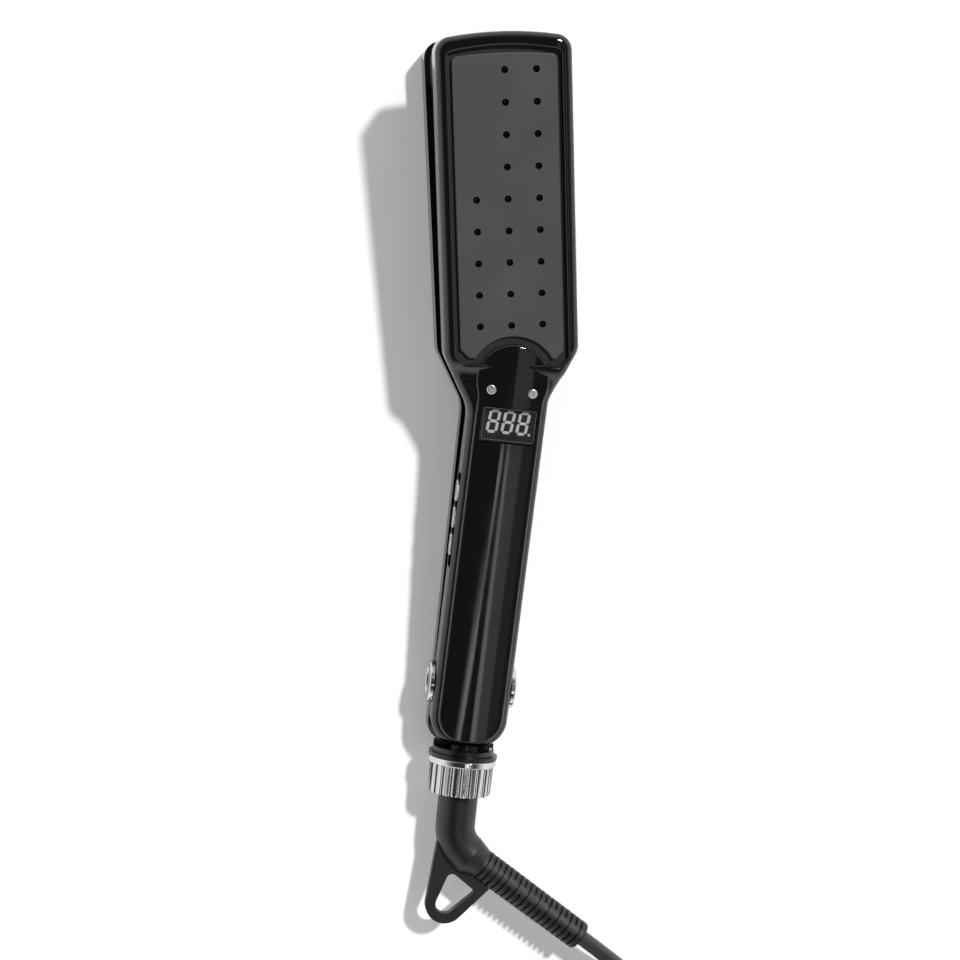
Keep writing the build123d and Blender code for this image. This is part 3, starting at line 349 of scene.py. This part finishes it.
def plated(name, colour, roughness, haze, ripple, relief, metallic=1.0):
    """A metal or plated surface: a faint ripple left by polishing, and thin hazy patches.

    The haze adds to the roughness. ripple is the ripple's size in millimetres and relief its height.
    """
    material = blank(name)
    place = add(material, "ShaderNodeTexCoord")
    wave = add(material, "ShaderNodeTexNoise",
               {"Vector": place.outputs["Object"], "Scale": 1000 / ripple, "Detail": 2.0})
    film = add(material, "ShaderNodeTexNoise",
               {"Vector": place.outputs["Object"], "Scale": 1000 / HAZE_PATCH, "Detail": 5.0,
                "Roughness": 0.65})
    dull = add(material, "ShaderNodeMapRange",
               {"Value": film.outputs["Fac"], "From Min": 0.35, "From Max": 0.7, "To Min": roughness,
                "To Max": roughness + haze})
    bump = add(material, "ShaderNodeBump",
               {"Height": wave.outputs["Fac"], "Distance": relief / 1000, "Strength": 1.0})
    shader = add(material, "ShaderNodeBsdfPrincipled",
                 {"Base Color": linear(colour), "Metallic": metallic, "Roughness": dull.outputs[0],
                  "Normal": bump.outputs[0]})
    add(material, "ShaderNodeOutputMaterial", {"Surface": shader.outputs[0]})
    return material


nickel = plated("nickel_plated_pin", "D8D4C8",
                roughness=0.14, haze=0.14, ripple=1.5, relief=0.002)
dress(nickel, "plug_pins")

# Strain relief: a long sleeve of soft rubber, moulded with cross grooves so that it bends evenly. Its
# surface is matt, with the grain of the mould, and it is pushed onto the cord and into the elbow.
relief_rubber = moulded("matt_black_rubber", "0E0E0F", "141415",
                        roughness=0.50, spread=0.07, grain=0.45, relief=0.03)
dress(relief_rubber, "strain_relief")

# Elbow with its hang loop: one piece of tough black elastomer, moulded over the swivel's spindle. It
# has a fine satin grain that gives broad soft highlights.
elbow_plastic = moulded("satin_black_elastomer", "0E0E0F", "131314",
                        roughness=0.38, spread=0.05, grain=0.35, relief=0.010)
dress(elbow_plastic, "cord_elbow")

# Neck collar and spindle: glass-filled nylon, moulded and then turned where the swivel runs. The collar
# sits in the lower arm's cradle and carries the lock ring, and it is a little glossier than the elbow.
collar_plastic = moulded("satin_black_nylon", "09090A", "0D0D0E",
                         roughness=0.30, spread=0.06, grain=0.4, relief=0.010)
dress(collar_plastic, "neck_collar", "swivel_spindle")

# Bright parts: the lock ring, the rims at the hinge and the buttons' caps. All are chrome plate on
# polished ABS, so they mirror the white room and the black body beside them.
chrome = plated("polished_chrome_plate", "CDCECF",
                roughness=0.06, haze=0.07, ripple=3.0, relief=0.003)
dress(chrome, "lock_ring", "hinge_caps", "power_button", "minus_button", "plus_button")

# Crown screws: slotted pan heads of zinc-plated steel, tumbled before plating, so that they are
# bright but too dull to mirror anything sharply.
zinc = plated("zinc_plated_steel", "DADCDE",
              roughness=0.17, haze=0.12, ripple=0.6, relief=0.012)
dress(zinc, "crown_screws")

# Arms: two shells of black ABS from a mirror-polished mould, with the head's rim, the handle and its
# crown in one piece. Only the floor of the panels' recess is left dull from the mould, and its colour is
# also painted darker there as painted shade in the recess.
ARM_TILT, HINGE_HEIGHT = radians(6.15), 0.0145
CROWN_R = 0.060
CROWN_FLAT = 0.0019      # half width of the level strip along the crown
RECESS_DEPTH, RECESS_MARGIN = 0.0119, 0.0002
NEARLY_LEVEL = 0.97      # upright share of a normal, from which a face counts as the recess floor
# painted shade: the recess floor's colour is set darker than the shell's to stand for the shade in the
# recess
FLOOR_ROUGHNESS, RECESS_PAINTED_SHADE = 0.62, "050506"


def shader_of(material):
    """The shader of a finished material."""
    return next(node for node in material.node_tree.nodes if node.type == "BSDF_PRINCIPLED")


def arm_frame(material, tilt, output="Object", place=(0, 0, HINGE_HEIGHT)):
    """Places or directions counted in an arm's own frame, whose plane z = 0 lies between the arms."""
    source = add(material, "ShaderNodeTexCoord")
    turned = add(material, "ShaderNodeMapping", {"Vector": source.outputs[output], "Location": place,
                                                 "Rotation": (tilt, 0, 0)}, vector_type="TEXTURE")
    return add(material, "ShaderNodeSeparateXYZ", {0: turned.outputs[0]})


def blended(material, mask, socket, value):
    """Mixes a value or colour into one of the shader's inputs, where the mask is 1."""
    slot = shader_of(material).inputs[socket]
    kind, start, end = ("FLOAT", 2, 3) if isinstance(value, float) else ("RGBA", 6, 7)
    mix = add(material, "ShaderNodeMix",
              {0: mask.outputs[0], start: slot.links[0].from_socket, end: value}, data_type=kind)
    material.node_tree.links.new(mix.outputs[2 if kind == "RGBA" else 0], slot)


def arm_gloss(name, tilt):
    """The arms' gloss plastic: dull on the recess floor, with painted shade darkening its colour there, and
    faintly rounded all across the crown.

    The crown's rounding slopes the level strip along its middle as the rest of the crown slopes.
    """
    material = moulded(name, "0D0D0E", "0F0F10",
                       roughness=0.075, spread=0.025, grain=2.5, relief=0.0030, ior=1.55)
    grain = next(node for node in material.node_tree.nodes if node.type == "BUMP")
    place = arm_frame(material, tilt)
    facing = arm_frame(material, tilt, "Normal", (0, 0, 0))
    depth = add(material, "ShaderNodeMath", {0: place.outputs["Z"]}, operation="ABSOLUTE")
    level = add(material, "ShaderNodeMath", {0: depth.outputs[0], 1: RECESS_DEPTH, 2: RECESS_MARGIN},
                operation="COMPARE")
    upright = add(material, "ShaderNodeMath", {0: facing.outputs["Z"]}, operation="ABSOLUTE")
    flat = add(material, "ShaderNodeMath", {0: upright.outputs[0], 1: NEARLY_LEVEL},
               operation="GREATER_THAN")
    recess_dull_and_shade_mask = add(material, "ShaderNodeMath", {0: level.outputs[0], 1: flat.outputs[0]},
                     operation="MULTIPLY")
    blended(material, recess_dull_and_shade_mask, "Roughness", FLOOR_ROUGHNESS)
    # painted shade: darkens the colour of the recess floor
    blended(material, recess_dull_and_shade_mask, "Base Color", linear(RECESS_PAINTED_SHADE))
    square = add(material, "ShaderNodeMath", {0: place.outputs["X"], 1: place.outputs["X"]},
                 operation="MULTIPLY")
    inner = add(material, "ShaderNodeMath", {0: square.outputs[0], 1: CROWN_FLAT ** 2}, operation="MINIMUM")
    slope = add(material, "ShaderNodeBump",
                {"Height": inner.outputs[0], "Distance": 1 / (2 * CROWN_R), "Strength": 1.0}, invert=True)
    material.node_tree.links.new(slope.outputs[0], grain.inputs["Normal"])
    return material


dress(arm_gloss("polished_black_abs", ARM_TILT), "upper_shell", "hinge_discs")
dress(arm_gloss("polished_black_abs_lower", 0.0), "lower_shell")

# Vent panels: black ABS inlays with round vents, clipped into the heads. Their mould was spark-eroded,
# which leaves a fine even grain, so that they look dark grey and show no reflections.
satin = moulded("spark_eroded_abs_panel", "404042", "464648",
                roughness=0.42, spread=0.05, grain=0.3, relief=0.012)
dress(satin, "upper_vent_panel", "lower_vent_panel")

# Display module: three digits of seven bars in a black epoxy body, which is soldered to the board. The
# bars are light channels filled with milky resin, so that they look white when they aren't lit.
MODULE_FACE = 0.0123
WINDOW_Y = 0.1106
DIGIT_SIZE, DIGIT_PITCH = (0.0047, 0.0096), 0.0060
BAR_WIDTH, BAR_GAP, BAR_THICK = 0.00115, 0.00058, 0.00005
BAR_POINT = BAR_WIDTH / 2 / cos(radians(30))  # how far a bar's pointed end reaches
DIGITS_OFFSET = (0.0002, 0.0014)
LEAN = tan(radians(6))
DOT_PLACE, DOT_R = (0.0029, -0.0043), 0.00055
raised = Matrix.Translation((0, 0, HINGE_HEIGHT)) @ Matrix.Rotation(ARM_TILT, 4, "X")


def bar(length):
    """One bar of a digit: a flat strip along Y with pointed ends."""
    cleared()
    bpy.ops.mesh.primitive_cylinder_add(vertices=6, radius=BAR_POINT, depth=BAR_THICK)
    piece = bpy.context.object
    reach = length / 2 - BAR_POINT
    for sign in (-1, 1):
        bpy.ops.object.mode_set(mode="EDIT")
        bpy.ops.mesh.select_all(action="DESELECT")
        bpy.ops.object.mode_set(mode="OBJECT")
        for vertex in piece.data.vertices:
            vertex.select = sign * vertex.co.y > 0
        bpy.ops.object.mode_set(mode="EDIT")
        bpy.ops.transform.translate(value=(0, sign * reach, 0))
    bpy.ops.object.mode_set(mode="OBJECT")
    return piece


def copies(piece, places):
    """Copies of a piece, each with its own mesh, at these places; the first one is moved itself."""
    made = [piece]
    for _ in places[1:]:
        made.append(bpy.data.objects.new(piece.name, piece.data.copy()))
        bpy.context.scene.collection.objects.link(made[-1])
    for copy, matrix in zip(made, places):
        copy.data.transform(matrix)
    return made


wide, tall = (side - BAR_WIDTH for side in DIGIT_SIZE)
lean = Matrix(((1, LEAN, 0, 0), (0, 1, 0, 0), (0, 0, 1, 0), (0, 0, 0, 1)))
uprights = [(x * wide / 2, y * tall / 4, 0) for x in (-1, 1) for y in (-1, 1)]
levels = [(0, y * tall / 2, 0) for y in (-1, 0, 1)]
digit_middles = [Matrix.Translation((DIGITS_OFFSET[0] + digit * DIGIT_PITCH, WINDOW_Y + DIGITS_OFFSET[1],
                                     MODULE_FACE + BAR_THICK / 2)) for digit in (-1, 0, 1)]
upright_places = [raised @ middle @ lean @ Matrix.Translation(at)
                  for middle in digit_middles for at in uprights]
level_places = [raised @ middle @ lean @ Matrix.Translation(at) @ Matrix.Rotation(radians(90), 4, "Z")
                for middle in digit_middles for at in levels]
bars = copies(bar(tall / 2 - BAR_GAP), upright_places) + copies(bar(wide - BAR_GAP), level_places)
cleared()
bpy.ops.mesh.primitive_cylinder_add(vertices=20, radius=DOT_R, depth=BAR_THICK)
bars += copies(bpy.context.object, [raised @ digit_middles[-1] @ Matrix.Translation((*DOT_PLACE, 0))])
for piece in bars:
    piece.select_set(True)
bpy.ops.object.join()
digits = bpy.context.object
digits.name = "display_digits"
bar_resin = moulded("diffusing_epoxy_bar", "ECECEA", "E4E4E2",
                    roughness=0.45, spread=0.05, grain=0.4, relief=0.004)
digits.data.materials.append(bar_resin)
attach(digits, "upper_arm")
module_body = moulded("black_display_body", "222223", "272728",
                      roughness=0.45, spread=0.05, grain=0.5, relief=0.008)
dress(module_body, "display_module")

# Window outline: a thin light grey strip laid round the pane, a painted highlight that stands for the
# light caught by the window's edges. It is dull and a little lighter than the pane, and it draws the
# window's outline.
PANE_FACE = 0.0141
STRIP_SIZE, STRIP_PLACE = (0.0211, 0.0129), (0.0003, 0.1111)
STRIP_WIDTH, STRIP_THICK, STRIP_CORNER = 0.00020, 0.00006, 0.0006
cleared()
bpy.ops.mesh.primitive_plane_add(size=1.0)
outline_strip = bpy.context.object
for corner in outline_strip.data.vertices:
    corner.co = (corner.co.x * STRIP_SIZE[0], corner.co.y * STRIP_SIZE[1], 0.0)
bpy.ops.object.mode_set(mode="EDIT")
bpy.ops.mesh.select_all(action="SELECT")
bpy.ops.mesh.bevel(offset=STRIP_CORNER, segments=5, affect="VERTICES")
bpy.ops.mesh.inset(thickness=STRIP_WIDTH)
bpy.ops.mesh.delete(type="FACE")
bpy.ops.mesh.select_all(action="SELECT")
bpy.ops.mesh.extrude_region_move(TRANSFORM_OT_translate={"value": (0, 0, STRIP_THICK)})
settled(outline_strip, "window_edge_highlight")
outline_strip.data.transform(raised @ Matrix.Translation((*STRIP_PLACE, PANE_FACE)))
# painted highlight: the strip's light grey stands for light caught by the window's edges
edge_highlight_paint = moulded("painted_edge_highlight", "5A5A5A", "505050",
                  roughness=0.4, spread=0.05, grain=0.5, relief=0.004)
outline_strip.data.materials.append(edge_highlight_paint)
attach(outline_strip, "upper_arm")

# Window: a clear pane of polycarbonate, moulded with a gloss face and glued into the crown over the
# digits. It shows them almost as they are, under a thin reflection that fingers smear a little.
SMEAR_PATCH = 5  # millimetres
window = blank("clear_polycarbonate_pane")
place = add(window, "ShaderNodeTexCoord")
film = add(window, "ShaderNodeTexNoise",
           {"Vector": place.outputs["Object"], "Scale": 1000 / SMEAR_PATCH, "Detail": 4.0})
smear = add(window, "ShaderNodeMapRange", {"Value": film.outputs["Fac"], "To Min": 0.04, "To Max": 0.12})
pane = add(window, "ShaderNodeBsdfPrincipled",
           {"Base Color": linear("101012"), "Roughness": smear.outputs[0], "IOR": 1.58, "Alpha": 0.15})
add(window, "ShaderNodeOutputMaterial", {"Surface": pane.outputs[0]})
dress(window, "display_lens")

# Heated plates: milled aluminium with a dark ceramic coat, sprayed and baked on. The coat is smooth and
# half bright, so it shows a soft reflection of the other plate.
coating = plated("ceramic_coated_aluminium", "3B3C40",
                 roughness=0.22, haze=0.08, ripple=8.0, relief=0.002, metallic=0.85)
dress(coating, "upper_plate", "lower_plate")

# Trays and inner covers: glass-filled PPS, which stands the plates' heat. It comes dull and slightly
# mottled from the mould, and it is screwed or clipped into the shells.
heatproof = moulded("glass_filled_pps", "161617", "1E1E1F",
                    roughness=0.55, spread=0.08, grain=0.8, relief=0.03)
dress(heatproof, "upper_plate_carrier", "lower_plate_carrier", "upper_inner_cover", "lower_inner_cover")

# Heaters and sensor: fired white ceramic, a little rough and off-white, clamped to the plates' backs
# with bright steel strips.
ceramic = moulded("fired_alumina", "E4E0D6", "D8D2C6",
                  roughness=0.5, spread=0.08, grain=0.4, relief=0.01)
dress(ceramic, "upper_heater", "lower_heater", "upper_thermistor")

# Steel parts: the pin, springs, clips, small screws and the thermal fuse's can. They are cold-formed
# and plated thinly, so they are bright but show the marks of the tools.
steel = plated("bright_spring_steel", "A9ABAD",
               roughness=0.28, haze=0.16, ripple=1.2, relief=0.004)
dress(steel, "upper_carrier_screws", "lower_carrier_screws", "upper_heater_clamp", "lower_heater_clamp",
      "hinge_pin", "opening_spring", "ring_clip", "lock_bolt", "lower_thermal_fuse")

# Slip contacts: brass brushes on a block, sprung against the end of the spindle. Brass goes a little
# brown and uneven with use.
brass = plated("bright_brass", "C9A654",
               roughness=0.25, haze=0.12, ripple=1.5, relief=0.003)
dress(brass, "slip_contacts")

# Cushions and leads: silicone rubber, pressed into blocks under the plates and drawn over the two
# wires, in the usual brick red, with a dull skin.
silicone = moulded("red_silicone", "A8402E", "953524",
                   roughness=0.5, spread=0.06, grain=0.7, relief=0.015)
dress(silicone, "upper_plate_cushions", "lower_plate_cushions", "lower_leads")

# Circuit boards: glass-fibre boards under green solder mask, with dark moulded parts soldered on. The
# parts stand above the board's face, so a height splits the two colours.


def circuit(name, tilt, level):
    """A board and its parts: above the level, counted from the plane between the arms, it is dark."""
    material = moulded(name, "1E5A35", "17482B",
                       roughness=0.3, spread=0.05, grain=1.2, relief=0.02)
    place = arm_frame(material, tilt)
    part = add(material, "ShaderNodeMath", {0: place.outputs["Z"], 1: level}, operation="GREATER_THAN")
    blended(material, part, "Base Color", linear("1C1C1E"))
    return material


CONTROL_FACE, POWER_FACE = 0.00652, -0.00758
dress(circuit("populated_control_board", ARM_TILT, CONTROL_FACE), "control_board", "button_board")
dress(circuit("populated_power_board", 0.0, POWER_FACE), "power_board")
